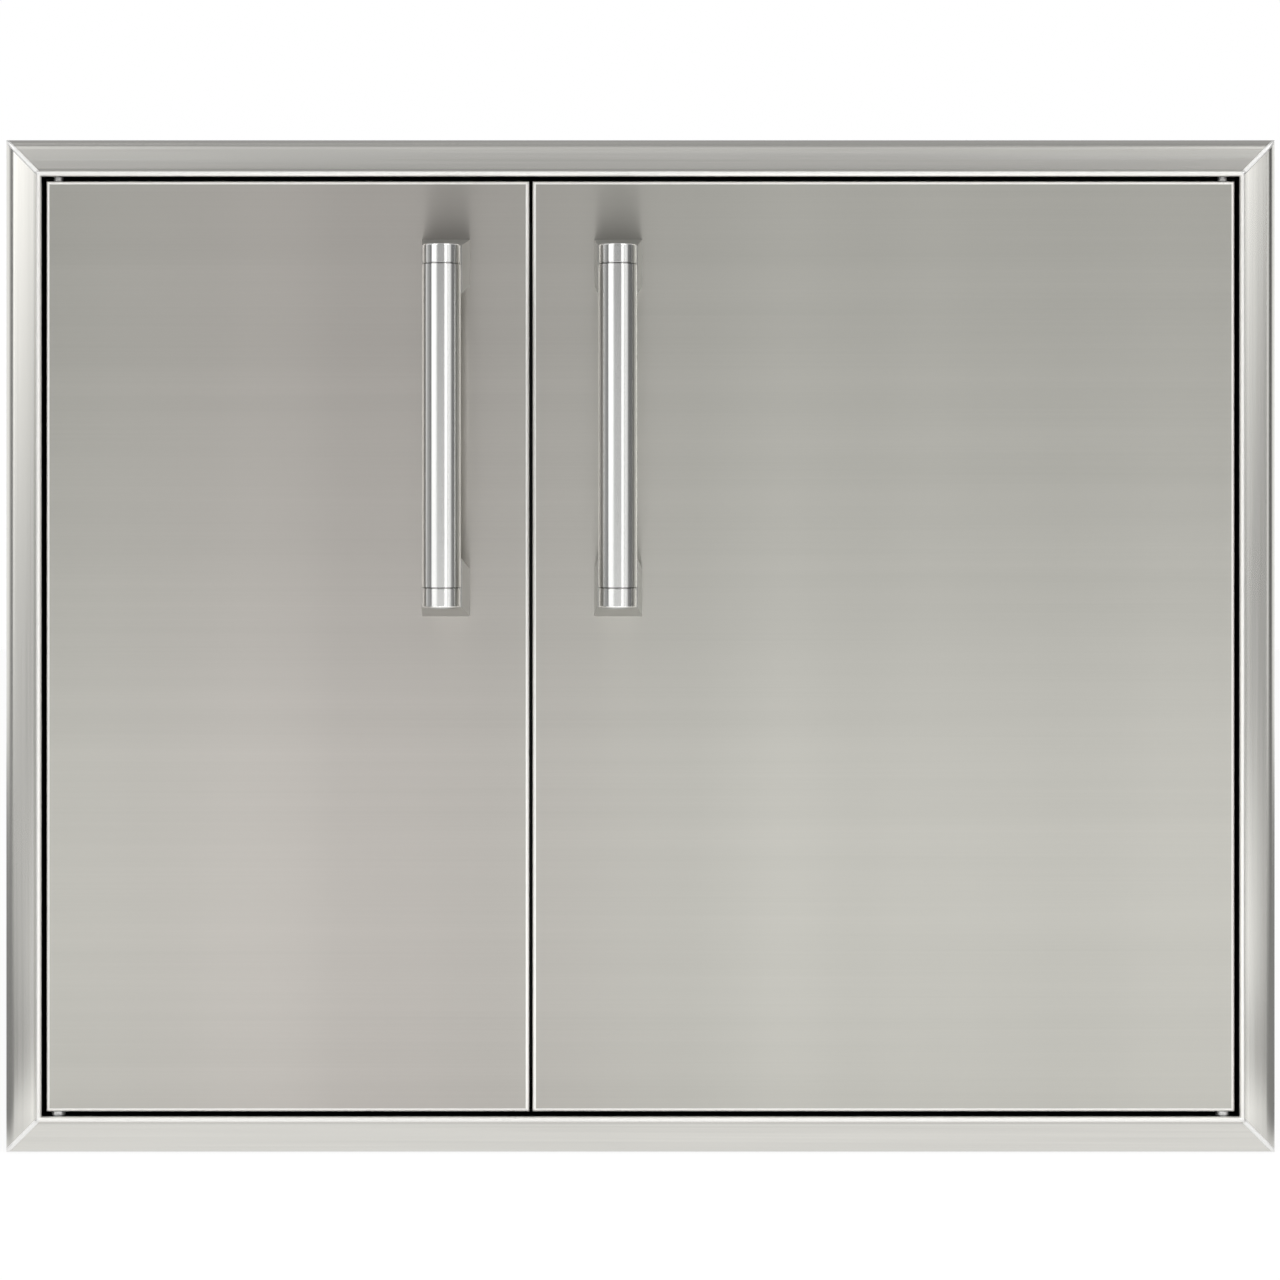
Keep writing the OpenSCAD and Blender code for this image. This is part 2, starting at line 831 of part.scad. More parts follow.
on_sill() pivot_blocks();
on_sill() pivot_pins();
on_sill() pivot_washers();
on_sill() back_rivets();
on_sill() door_skin("left");  // left_door_skin
on_sill() door_liner("left");  // left_door_liner
on_sill() door_stiffener("left");  // left_door_stiffener
on_sill() pivot_sockets("left");  // left_pivot_sockets
on_sill() pivot_bushings("left");  // left_pivot_bushings
on_sill() handle_tube("left");  // left_handle_tube
on_sill() handle_caps("left");  // left_handle_caps
on_sill() handle_upper_post("left");  // left_handle_upper_post
on_sill() handle_lower_post("left");  // left_handle_lower_post
on_sill() handle_screws("left");  // left_handle_screws
on_sill() handle_backing("left");  // left_handle_backing
on_sill() strike_plate("left");  // left_strike_plate
on_sill() door_skin("right");  // right_door_skin
on_sill() door_liner("right");  // right_door_liner
on_sill() door_stiffener("right");  // right_door_stiffener
on_sill() pivot_sockets("right");  // right_pivot_sockets
on_sill() pivot_bushings("right");  // right_pivot_bushings
on_sill() handle_tube("right");  // right_handle_tube
on_sill() handle_caps("right");  // right_handle_caps
on_sill() handle_upper_post("right");  // right_handle_upper_post
on_sill() handle_lower_post("right");  // right_handle_lower_post
on_sill() handle_screws("right");  // right_handle_screws
on_sill() handle_backing("right");  // right_handle_backing
on_sill() strike_plate("right");  // right_strike_plate
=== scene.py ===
import math

import bpy
import numpy as np
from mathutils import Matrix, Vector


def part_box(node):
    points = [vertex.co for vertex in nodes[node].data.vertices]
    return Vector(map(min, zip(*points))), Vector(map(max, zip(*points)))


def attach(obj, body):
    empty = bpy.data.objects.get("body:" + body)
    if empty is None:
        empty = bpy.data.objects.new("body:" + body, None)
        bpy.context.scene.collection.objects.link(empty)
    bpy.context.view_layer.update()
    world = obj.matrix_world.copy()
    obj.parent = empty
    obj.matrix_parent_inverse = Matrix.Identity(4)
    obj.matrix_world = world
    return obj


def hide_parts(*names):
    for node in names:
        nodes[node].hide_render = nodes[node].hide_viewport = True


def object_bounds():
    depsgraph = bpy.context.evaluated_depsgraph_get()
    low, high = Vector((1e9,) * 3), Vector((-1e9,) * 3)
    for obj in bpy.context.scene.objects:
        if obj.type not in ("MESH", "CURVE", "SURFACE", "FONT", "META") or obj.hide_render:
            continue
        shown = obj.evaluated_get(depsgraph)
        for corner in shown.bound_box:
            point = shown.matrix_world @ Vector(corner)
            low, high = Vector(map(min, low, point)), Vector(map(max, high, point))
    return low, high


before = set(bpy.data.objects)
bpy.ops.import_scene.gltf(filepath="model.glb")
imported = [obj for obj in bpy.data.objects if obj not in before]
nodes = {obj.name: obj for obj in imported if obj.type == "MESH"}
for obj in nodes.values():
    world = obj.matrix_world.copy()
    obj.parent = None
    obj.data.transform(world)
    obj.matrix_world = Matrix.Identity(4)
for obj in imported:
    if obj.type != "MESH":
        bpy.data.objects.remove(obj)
cad_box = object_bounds()


# Cabinet sheets: sides, top, floor, back and the divider are folded from 1.2 mm
# stainless sheet with a plain satin mill finish. The back is held by pulled rivets.

SHEET_DARK = (0.46, 0.46, 0.45)
SHEET_LIGHT = (0.6, 0.6, 0.585)
SHEET_ROUGHNESS = 0.34
CLOUD_ROUGHNESS = 0.08
CLOUD_CELLS = (7, 7, 7)
GRAIN_CELLS = (900, 900, 900)
GRAIN_DEPTH = 0.00001


class Link:
    """A socket in a node tree. Sums, differences, products and quotients of links add Math nodes."""

    def __init__(self, tree, socket=None):
        self.tree = tree
        self.socket = socket

    def node(self, kind, settings=(), inputs=(), output=0):
        """Adds a node, sets its settings, then its sockets' values or links, and gives one output."""
        made = self.tree.nodes.new(kind)
        for name, value in dict(settings).items():
            setattr(made, name, value)
        for name, value in dict(inputs).items():
            if isinstance(value, Link):
                self.tree.links.new(value.socket, made.inputs[name])
            else:
                made.inputs[name].default_value = value
        return Link(self.tree, made.outputs[output])

    def math(self, operation, *values):
        return self.node("ShaderNodeMath", {"operation": operation}, dict(enumerate(values)))

    def __add__(self, other):
        return self.math("ADD", self, other)

    def __sub__(self, other):
        return self.math("SUBTRACT", self, other)

    def __rsub__(self, other):
        return self.math("SUBTRACT", other, self)

    def __mul__(self, other):
        return self.math("MULTIPLY", self, other)

    def __truediv__(self, other):
        return self.math("DIVIDE", self, other)

    __radd__ = __add__
    __rmul__ = __mul__

    def step(self, start, end):
        """0 before start, 1 after end and a smooth S between them."""
        return self.node("ShaderNodeMapRange", {"interpolation_type": "SMOOTHSTEP"},
                         {"Value": self, "From Min": start, "From Max": end})

    def band(self, rise, full, fade, end):
        """0 before rise, 1 from full to fade and 0 after end, with a smooth S on either side."""
        return self.step(rise, full) * (1 - self.step(fade, end))

    def hump(self, middle, half_width):
        """1 at the middle, falling smoothly to 0 at half_width on either side."""
        away = self.math("ABSOLUTE", self - middle)
        return 1 - away.step(0.0, half_width)

    def colours(self, dark, light):
        """From the dark colour at 0 to the light one at 1."""
        return self.node("ShaderNodeMix", {"data_type": "RGBA"},
                         {"Factor": self, 6: (*dark, 1), 7: (*light, 1)}, 2)

    def over(self, colour, tone):
        """A link's colour with the colour tone laid over it where this is 1."""
        return self.node("ShaderNodeMix", {"data_type": "RGBA"},
                         {"Factor": self, 6: colour, 7: (*tone, 1)}, 2)


def new_material(name):
    """An empty material, the link that starts its nodes, and its Principled shader."""
    material = bpy.data.materials.new(name)
    material.use_nodes = True
    shader = material.node_tree.nodes["Principled BSDF"]
    return material, Link(material.node_tree), shader


def object_noise(start, stretch, detail=2.0):
    """Noise on Object coordinates with stretch[i] cells to the metre along each axis, 0 to 1."""
    place = start.node("ShaderNodeTexCoord", output="Object")
    place = start.node("ShaderNodeMapping", (), {"Vector": place, "Scale": stretch})
    return start.node("ShaderNodeTexNoise", (), {"Vector": place, "Scale": 1.0, "Detail": detail})


def connect(start, shader, socket, link):
    start.tree.links.new(link.socket, shader.inputs[socket])


def bump(start, height, depth):
    """A normal from a height of 0 to 1 that stands for depth metres."""
    return start.node("ShaderNodeBump", (), {"Strength": 1.0, "Distance": depth, "Height": height})


def satin_sheet(name, dark, light, roughness):
    """Mill-finished sheet: faint clouds in its tone and a fine even grain."""
    material, start, shader = new_material(name)
    clouds = object_noise(start, CLOUD_CELLS)
    grain = object_noise(start, GRAIN_CELLS)
    connect(start, shader, "Base Color", (0.7 * clouds + 0.3 * grain).colours(dark, light))
    connect(start, shader, "Roughness", roughness + CLOUD_ROUGHNESS * clouds)
    connect(start, shader, "Normal", bump(start, grain, GRAIN_DEPTH))
    shader.inputs["Metallic"].default_value = 1.0
    return material


def dress(material, *names):
    """Gives CAD nodes their material in place of the plain one."""
    for name in names:
        mesh = nodes[name].data
        mesh.materials.clear()
        mesh.materials.append(material)


sheet_steel = satin_sheet("Satin_Sheet_Steel", SHEET_DARK, SHEET_LIGHT, SHEET_ROUGHNESS)
dress(sheet_steel, "cabinet_left_side", "cabinet_right_side", "cabinet_top", "cabinet_bottom",
      "cabinet_back")
turned_steel = satin_sheet("Turned_Bright_Steel", (0.6, 0.6, 0.59), (0.74, 0.74, 0.73), 0.2)
dress(turned_steel, "back_rivets")


# Door stops: folded strips spot-welded round the cabinet's mouth, and the divider between
# the bays. The stops and the divider's front flange are coloured near black as painted shade,
# so that the gaps round the doors look black.

GAP_SHADE_TONE = (0.022, 0.022, 0.022)
GAP_SHADE_DULLNESS = 0.2
FLANGE_DEPTH = 0.004
FLANGE_FADE = 0.001

# Near-black on the stops is painted shade in the gaps round the doors.
dress(satin_sheet("Stop_Painted_Gap_Shade", (0.02, 0.02, 0.02), (0.035, 0.035, 0.035), 0.6),
      "stop_top_strip", "stop_bottom_strip", "stop_left_strip", "stop_right_strip")


def dress_divider():
    """The divider's own steel, and near-black painted shade over what lies within FLANGE_DEPTH of its
    front.
    """
    material, start, shader = new_material("Divider_Steel")
    clouds = object_noise(start, CLOUD_CELLS)
    place = start.node("ShaderNodeTexCoord", output="Object")
    y = start.node("ShaderNodeSeparateXYZ", (), {"Vector": place}, "Y")
    front = 1 - (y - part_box("divider")[0].y).step(FLANGE_DEPTH - FLANGE_FADE, FLANGE_DEPTH)
    colour = clouds.colours(SHEET_DARK, SHEET_LIGHT)
    # The front flange's near-black is painted shade.
    connect(start, shader, "Base Color", front.over(colour, GAP_SHADE_TONE))
    connect(start, shader, "Metallic", 1 - front)
    roughness = SHEET_ROUGHNESS + CLOUD_ROUGHNESS * clouds + GAP_SHADE_DULLNESS * front
    connect(start, shader, "Roughness", roughness)
    dress(material, "divider")


dress_divider()


# Door seals: a black rubber strip with a flat foot and a hollow bulb, glued to the stops
# in a ring behind each door. They are modelled in the space of their CAD rings.

SEAL_CORNER = 0.009
SEAL_FOOT = 0.0012
SEAL_MARGIN = 0.0002
BULB_SHARE = 0.62


def add_mesh(name, points, faces, smooth=True):
    """A mesh object at the origin from points (n, 3) and a list of faces."""
    mesh = bpy.data.meshes.new(name)
    mesh.from_pydata(points.reshape(-1, 3).tolist(), [], faces)
    mesh.polygons.foreach_set("use_smooth", [smooth] * len(mesh.polygons))
    mesh.update()
    made = bpy.data.objects.new(name, mesh)
    bpy.context.scene.collection.objects.link(made)
    return made


def grid_faces(rows, columns, wrap_rows, wrap_columns, flip=False):
    """Quads of a grid of points, closed round its rows or columns where asked."""
    r = np.arange(rows if wrap_rows else rows - 1)[:, None]
    c = np.arange(columns if wrap_columns else columns - 1)[None, :]
    r_next, c_next = (r + 1) % rows, (c + 1) % columns
    corners = [r * columns + c, r * columns + c_next, r_next * columns + c_next, r_next * columns + c]
    quads = np.stack([np.broadcast_to(k, (r.size, c.size)) for k in corners], -1).reshape(-1, 4)
    return (quads[:, ::-1] if flip else quads).tolist()


def rounded_ring(low, high, corner, steps):
    """Points round a rectangle in X and Z with quarter-circle corners, and the outward direction
    at each. A corner's points are its centre plus corner times the direction."""
    angle = np.linspace(0, math.pi / 2, steps)
    turns = np.concatenate([angle + k * math.pi / 2 for k in range(4)])
    outward = np.stack([np.cos(turns), np.sin(turns)], -1)
    centres = np.array([[high[0], high[1]], [low[0], high[1]], [low[0], low[1]], [high[0], low[1]]])
    centres = centres - corner * np.array([[1, 1], [-1, 1], [-1, -1], [1, -1]])
    return np.repeat(centres, steps, axis=0) + corner * outward, outward


def seal_profile(width, height):
    """A flat foot and a bulb above it: across the strip and out from the stop, as a closed loop.
    The bulb is most of an ellipse that leaves the foot's top, and the foot is a low box."""
    half, rise = width / 2, height - SEAL_FOOT
    turn = np.linspace(-0.15 * math.pi, 1.15 * math.pi, 17)
    bulb = np.stack([BULB_SHARE * half * np.cos(turn), SEAL_FOOT + rise * (0.5 + 0.5 * np.sin(turn))], -1)
    foot = np.array([[-half, SEAL_FOOT], [-half, 0.0], [half, 0.0], [half, SEAL_FOOT]])
    return np.concatenate([bulb, foot])


def strip_width(side):
    """Width of the CAD ring's strip: from its outer edge to the nearest corner inside it."""
    points = np.array([v.co for v in nodes[f"{side}_door_seal"].data.vertices])
    across = np.unique(np.round(points[:, 0], 5))
    return float(across[1] - across[0])


def make_seal(side):
    """The profile carried round the ring: ring point + across * outward, and out towards the door."""
    low, high = (np.array(c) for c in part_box(f"{side}_door_seal"))
    stop_y, height = high[1], high[1] - low[1] - SEAL_MARGIN
    width = strip_width(side) - 2 * SEAL_MARGIN
    middle = width / 2 + SEAL_MARGIN
    ring, outward = rounded_ring(low[[0, 2]] + middle, high[[0, 2]] - middle, SEAL_CORNER, 7)
    profile = seal_profile(width, height)
    across, out = profile[:, 0], profile[:, 1]
    flat = ring[:, None, :] + across[None, :, None] * outward[:, None, :]
    depth = np.broadcast_to(stop_y - out[None, :], flat.shape[:2])
    points = np.stack([flat[..., 0], depth, flat[..., 1]], -1)
    seal = add_mesh(f"{side}_bulb_seal", points, grid_faces(len(ring), len(profile), True, True))
    seal.data.materials.append(rubber)
    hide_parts(f"{side}_door_seal")
    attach(seal, "cabinet")


rubber, start, shader = new_material("Black_Rubber")
pores = object_noise(start, (1500, 1500, 1500))
connect(start, shader, "Base Color", pores.colours((0.012, 0.012, 0.012), (0.03, 0.03, 0.03)))
connect(start, shader, "Roughness", 0.5 + 0.2 * pores)
for side in ("left", "right"):
    make_seal(side)


# Shelves: folded trays of the cabinet's sheet. They rest on steel clips, which hook into
# the slots of rolled standards at the cabinet's sides and at the divider.

dress(satin_sheet("Shelf_Sheet_Steel", (0.5, 0.5, 0.49), (0.62, 0.62, 0.605), 0.3),
      "left_upper_shelf", "left_lower_shelf", "right_upper_shelf", "right_lower_shelf")
dress(satin_sheet("Rolled_Standard_Steel", (0.5, 0.5, 0.5), (0.66, 0.66, 0.65), 0.28), "shelf_standards")
dress(turned_steel, "shelf_clips")


# Catches: a moulded nylon housing with a sintered magnet in it, under the top stop. It
# holds a plain steel strike plate on the inside of each door.

nylon, start, shader = new_material("Moulded_White_Nylon")
speck = object_noise(start, (600, 600, 600))
connect(start, shader, "Base Color", speck.colours((0.7, 0.7, 0.67), (0.78, 0.78, 0.75)))
connect(start, shader, "Roughness", 0.42 + 0.12 * speck)
dress(nylon, "catch_housings")
dress(satin_sheet("Sintered_Magnet", (0.06, 0.06, 0.065), (0.13, 0.13, 0.135), 0.5), "catch_magnets")
dress(turned_steel, "left_strike_plate", "right_strike_plate")


# Face frame: four rails folded from stainless sheet, mitred, welded and polished at the
# corners. Their faces are very slightly crowned, and their beads are painted lighter as a highlight.

RAIL_DARK = (0.6, 0.591, 0.56)
RAIL_LIGHT = (0.9, 0.887, 0.84)
RAIL_TONE = 0.15
RAIL_FINE = 0.3
RAIL_SLOW = 0.4
RAIL_CROWN = 5.0
RAIL_ROUGHNESS = 0.2
LINE_CELLS = (5, 500, 900)
DRIFT_CELLS = (2.5, 40, 160)
LINE_DEPTH = 0.000008
BEAD_HIGHLIGHT_TONE = (0.98, 0.97, 0.94)
BEAD_WIDTH = 0.0032
BEAD_FADE = 0.0006
BEAD_DULLNESS = 0.35
SHADOW_PLACE = 0.004
SHADOW_REACH = 0.0012
SHADOW_SHARE = 0.35
MOUTH_SHADE_TONE = (0.015, 0.015, 0.015)
MOUTH_EDGE = (0.0003, 0.0008)
MOUTH_DEPTH = (-0.0156, -0.0148)
OUTWARD = {"left": -1, "right": 1, "top": 1, "bottom": -1}


def ground_lines(start, lines, drift):
    """Fine ground lines and the slower drift of their tone, each as noise of 0 to 1."""
    return object_noise(start, lines), object_noise(start, drift, 1.0)


def tilted(start, tilt, axis):
    """The surface's own normal, leaned along an axis by the slope tilt."""
    own = start.node("ShaderNodeNewGeometry", output="Normal")
    lean = start.node("ShaderNodeCombineXYZ", (), {axis: tilt})
    total = start.node("ShaderNodeVectorMath", {"operation": "ADD"}, {0: own, 1: lean})
    return start.node("ShaderNodeVectorMath", {"operation": "NORMALIZE"}, {0: total})


def dress_rail(side, axis, reach, lines, drift):
    """One rail's steel, at reach from the frame's middle along the axis across it. The distance out
    from the opening picks out the bead's painted highlight, the narrow painted shadow beside it and the
    painted shade in the rail's mouth."""
    material, start, shader = new_material(f"Rail_Steel_{side}")
    place = start.node("ShaderNodeTexCoord", output="Object")
    place = start.node("ShaderNodeVectorMath", {"operation": "SUBTRACT"}, {0: place, 1: frame_middle})
    x, y, z = (start.node("ShaderNodeSeparateXYZ", (), {"Vector": place}, name) for name in "XYZ")
    beside = x.math("ABSOLUTE", x) - opening_half[0]
    above = z.math("ABSOLUTE", z) - opening_half[1]
    out = x.math("MAXIMUM", beside, above)
    fine, slow = ground_lines(start, lines, drift)
    shade = RAIL_FINE * fine + RAIL_SLOW * slow + RAIL_TONE
    # Painted shadow beside the bead, a painted highlight on the bead and near-black painted shade in the
    # mouth.
    shade = shade - SHADOW_SHARE * out.hump(SHADOW_PLACE, SHADOW_REACH)
    bead = 1 - out.step(BEAD_WIDTH - BEAD_FADE, BEAD_WIDTH)
    inside = (1 - out.step(*MOUTH_EDGE)) * y.step(*MOUTH_DEPTH)
    colour = bead.over(shade.colours(RAIL_DARK, RAIL_LIGHT), BEAD_HIGHLIGHT_TONE)
    connect(start, shader, "Base Color", inside.over(colour, MOUTH_SHADE_TONE))
    connect(start, shader, "Roughness", RAIL_ROUGHNESS + 0.06 * fine + BEAD_DULLNESS * bead)
    across = x if axis == "X" else z
    crown = tilted(start, RAIL_CROWN * (across - OUTWARD[side] * (reach + rail_width / 2)), axis)
    normal = start.node("ShaderNodeBump", (), {"Strength": 1.0, "Distance": LINE_DEPTH,
                                               "Height": fine, "Normal": crown})
    connect(start, shader, "Normal", normal)
    shader.inputs["Metallic"].default_value = 1.0
    dress(material, f"frame_{side}_rail")


rail_box = [np.array(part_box("frame_left_rail")[0]), np.array(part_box("frame_right_rail")[1])]
rail_width = float(np.ptp([c[2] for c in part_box("frame_top_rail")]))
frame_middle = (0.0, 0.0, float(rail_box[0][2] + rail_box[1][2]) / 2)
opening_half = [float(rail_box[1][k] - rail_box[0][k]) / 2 - rail_width for k in (0, 2)]
for side in ("top", "bottom"):
    dress_rail(side, "Z", opening_half[1], LINE_CELLS, DRIFT_CELLS)
for side in ("left", "right"):
    dress_rail(side, "X", opening_half[0], LINE_CELLS[::-1], DRIFT_CELLS[::-1])


# Corner welds: a low polished bead of weld over each mitre, from the rail's outer
# shoulder to its inner bead. It follows the section that both rails have there, and its near-white colour
# is a painted highlight.

RAIL_PROUD = 0.019
SHOULDER = 0.008
BEAD = BEAD_WIDTH / 2
FACE_SLOPE = math.radians(12)
WELD_HALF_WIDTH = 0.0014
WELD_RISE = 0.00015
WELD_DEPTH = 0.0005
WELD_MARGIN = 0.0006
WELD_ROWS = 60
WELD_SIDES = 12


def rail_height(u):
    """Height of a rail's surface at distance u from its outer edge: the shoulder's circle, then the
    sloping face's line through the middle of the bead, then the bead's circle where that is higher."""
    bead_u, bead_v = rail_width - BEAD, RAIL_PROUD - BEAD
    touch = SHOULDER * (1 - math.sin(FACE_SLOPE))
    line = bead_v - (bead_u - u) * math.tan(FACE_SLOPE)
    shoulder_v = bead_v - SHOULDER / math.cos(FACE_SLOPE) - (bead_u - SHOULDER) * math.tan(FACE_SLOPE)
    inside = np.clip(SHOULDER**2 - (SHOULDER - u) ** 2, 0, None)
    height = np.where(u < touch, shoulder_v + np.sqrt(inside), line)
    bead = bead_v + np.sqrt(np.clip(BEAD**2 - (u - bead_u) ** 2, 0, None))
    return np.where(u > bead_u - BEAD, np.maximum(height, bead), height)


def make_weld(name, across, up):
    """A lens-shaped section carried down the mitre. At distance u and sideways place s the surface
    is the rails' own at u - |s| / sqrt 2, plus a rise that is an ellipse in s."""
    (low_x, _, low_z), (high_x, _, high_z) = rail_box
    u = np.linspace(WELD_MARGIN, rail_width - WELD_MARGIN, WELD_ROWS)[:, None]
    turn = np.linspace(0, 2 * math.pi, WELD_SIDES + 1)[None, :-1]
    ends = np.sqrt(np.clip(1 - (2 * (u - u.min()) / np.ptp(u) - 1) ** 16, 0.0004, 1))
    sideways = WELD_HALF_WIDTH * np.cos(turn) * ends
    rise = np.where(np.sin(turn) > 0, WELD_RISE, WELD_DEPTH) * np.sin(turn) * ends
    shift = sideways / math.sqrt(2)
    y = -(rail_height(u - np.abs(shift)) + rise)
    x = (high_x - u if across > 0 else low_x + u) + across * shift
    z = (high_z - u if up > 0 else low_z + u) - up * shift
    points = np.stack([x, y, z], -1)
    faces = grid_faces(*y.shape, False, True, flip=across * up > 0)
    count = y.shape[1]
    caps = [list(range(count)), list(range(y.size - count, y.size))[::-1]]
    faces += [cap[::-1] if across * up < 0 else cap for cap in caps]
    weld = add_mesh(name, points, faces)
    weld.data.materials.append(weld_highlight_steel)
    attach(weld, "cabinet")


# The weld's near-white colour is a painted highlight.
weld_highlight_steel = satin_sheet("Weld_Painted_Highlight_Steel", (0.93, 0.925, 0.91), (0.99, 0.985, 0.97), 0.46)
for end in ("top", "bottom"):
    for side in ("left", "right"):
        make_weld(f"{end}_{side}_corner_weld", OUTWARD[side], OUTWARD[end])


# Pivots: pins in steel blocks inside the rails, with a washer under each door. The pins and washers are
# painted light grey as a highlight.
# They turn in nylon bushings, pressed into steel sockets in the doors' corners.

# The pins' and washers' light grey is a painted highlight.
dress(satin_sheet("Pivot_Painted_Highlight_Steel", (0.82, 0.82, 0.81), (0.93, 0.93, 0.92), 0.5),
      "pivot_pins", "pivot_washers")
dress(sheet_steel, "pivot_blocks", "left_pivot_sockets", "right_pivot_sockets")
dress(nylon, "left_pivot_bushings", "right_pivot_bushings")


# Doors: a pan of stainless sheet with rounded edges, ground from side to side, over a liner
# and a stiffener of plain sheet. The ground lines smear what the pan mirrors up and down. Its
# colour carries painted reflection in upright light and dark bands and in a lighter band low down
# and at its foot, a painted highlight on its rim and painted shade on its return. Its tone also
# drifts at random, a little pinker across the left door.

DOOR_DARK = (0.43, 0.424, 0.39)
DOOR_LIGHT = (0.95, 0.936, 0.865)
BLUSH_TONE = (1.0, 0.966, 0.98)
BLUSH_MIDDLE = -0.17
BLUSH_REACH = 0.24
RIM_HIGHLIGHT_TONE = (0.98, 0.97, 0.94)
EDGE_WIDTH = 0.0024
EDGE_FADE = 0.0005
RETURN_SHADE_TONE = (0.3, 0.296, 0.285)
RETURN_DEPTH = (0.0028, 0.0036)
DOOR_LINE_CELLS = (3, 400, 1100)
DOOR_DRIFT_CELLS = (1.5, 20, 70)
DOOR_LINE_DEPTH = 0.000005
DOOR_TONE = 0.34
DOOR_FINE = 0.08
DOOR_SLOW = 0.11
COARSE_ROUGHNESS = 0.42
SMOOTH_ROUGHNESS = 0.22
SMOOTH_SHARE = 0.35
PALE_MIDDLE = 0.2
PALE_REACH = 0.16
PALE_REFLECTION_GAIN = 0.05
FOOT_HEIGHT = 0.05
FOOT_REFLECTION_GAIN = 0.09
BAND_CELLS = (9, 0.5, 0.5)
BAND_SHARE = 0.132
REFLECTED_BANDS = ((-0.231, 0.05, 0.0528), (0.086, 0.06, 0.0616), (0.36, 0.11, 0.0528),
                  (-0.1, 0.11, -0.0528), (0.19, 0.24, 0.0528))


def reflection_bands(start, x):
    """Soft upright light and dark bands of painted reflection, over tone that differs at random."""
    total = BAND_SHARE * (object_noise(start, BAND_CELLS) - 0.5)
    for middle, half_width, gain in REFLECTED_BANDS:
        total = total + gain * x.hump(middle, half_width)
    return total


def dress_door(side):
    """One door's steel. The distance in from its outline picks out the rim's painted highlight, and the
    depth behind its face the return's painted shade."""
    material, start, shader = new_material(f"Door_Steel_{side}")
    low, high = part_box(f"{side}_door_skin")
    place = start.node("ShaderNodeTexCoord", output="Object")
    x, y, z = (start.node("ShaderNodeSeparateXYZ", (), {"Vector": place}, name) for name in "XYZ")
    beside = (high.x - low.x) / 2 - x.math("ABSOLUTE", x - (low.x + high.x) / 2)
    above = (high.z - low.z) / 2 - z.math("ABSOLUTE", z - (low.z + high.z) / 2)
    fine, slow = ground_lines(start, DOOR_LINE_CELLS, DOOR_DRIFT_CELLS)
    # Painted reflection: lighter in a band low down and at the door's foot.
    painted_reflection = PALE_REFLECTION_GAIN * z.hump(PALE_MIDDLE, PALE_REACH) + FOOT_REFLECTION_GAIN * (1 - z.step(0.0, FOOT_HEIGHT))
    shade = DOOR_FINE * fine + DOOR_SLOW * slow + DOOR_TONE + painted_reflection + reflection_bands(start, x)
    turned = (y - low.y).step(*RETURN_DEPTH)
    blush = x.hump(BLUSH_MIDDLE, BLUSH_REACH).colours((1, 1, 1), BLUSH_TONE)
    colour = start.node("ShaderNodeMix", {"data_type": "RGBA", "blend_type": "MULTIPLY"},
                        {"Factor": 1.0, 6: shade.colours(DOOR_DARK, DOOR_LIGHT), 7: blush}, 2)
    # The return's dark colour is painted shade.
    colour = turned.over(colour, RETURN_SHADE_TONE)
    ground = {"Base Color": colour, "Metallic": 1.0, "Normal": bump(start, fine, DOOR_LINE_DEPTH),
              "Anisotropic": 1.0, "Anisotropic Rotation": 0.25}
    coarse = start.node("ShaderNodeBsdfPrincipled", (),
                        {**ground, "Roughness": COARSE_ROUGHNESS + 0.03 * fine})
    smooth = start.node("ShaderNodeBsdfPrincipled", (), {**ground, "Roughness": SMOOTH_ROUGHNESS})
    sheet = start.node("ShaderNodeMixShader", (), {0: SMOOTH_SHARE, 1: coarse, 2: smooth})
    inward = beside.math("MINIMUM", beside, above)
    rim = (1 - inward.step(EDGE_WIDTH - EDGE_FADE, EDGE_WIDTH)) * (1 - turned)
    # The rim's lighter colour is a painted highlight.
    shader.inputs["Base Color"].default_value = (*RIM_HIGHLIGHT_TONE, 1)
    shader.inputs["Metallic"].default_value = 1.0
    polished = Link(start.tree, shader.outputs[0])
    mixed = start.node("ShaderNodeMixShader", (), {0: rim, 1: sheet, 2: polished})
    start.tree.links.new(mixed.socket, start.tree.nodes["Material Output"].inputs["Surface"])
    dress(material, f"{side}_door_skin")


for side in ("left", "right"):
    dress_door(side)
    dress(sheet_steel, f"{side}_door_liner", f"{side}_door_stiffener")


# Handles: a bright tube polished on a lathe, so that its marks run round it, with turned
# end caps on two cast posts. They are screwed on through the door and a backing plate.

TUBE_TONE = 0.79
TUBE_ROUGHNESS = 0.2
POST_TONE = 0.42
POST_ROUGHNESS = 0.35
WIPE_CELLS = (70, 70, 6)
WIPE_GAIN = 0.1
WARMTH = 0.015
GROOVE_WIDTH = 0.0007
GROOVE_TONE = (0.3, 0.298, 0.29)


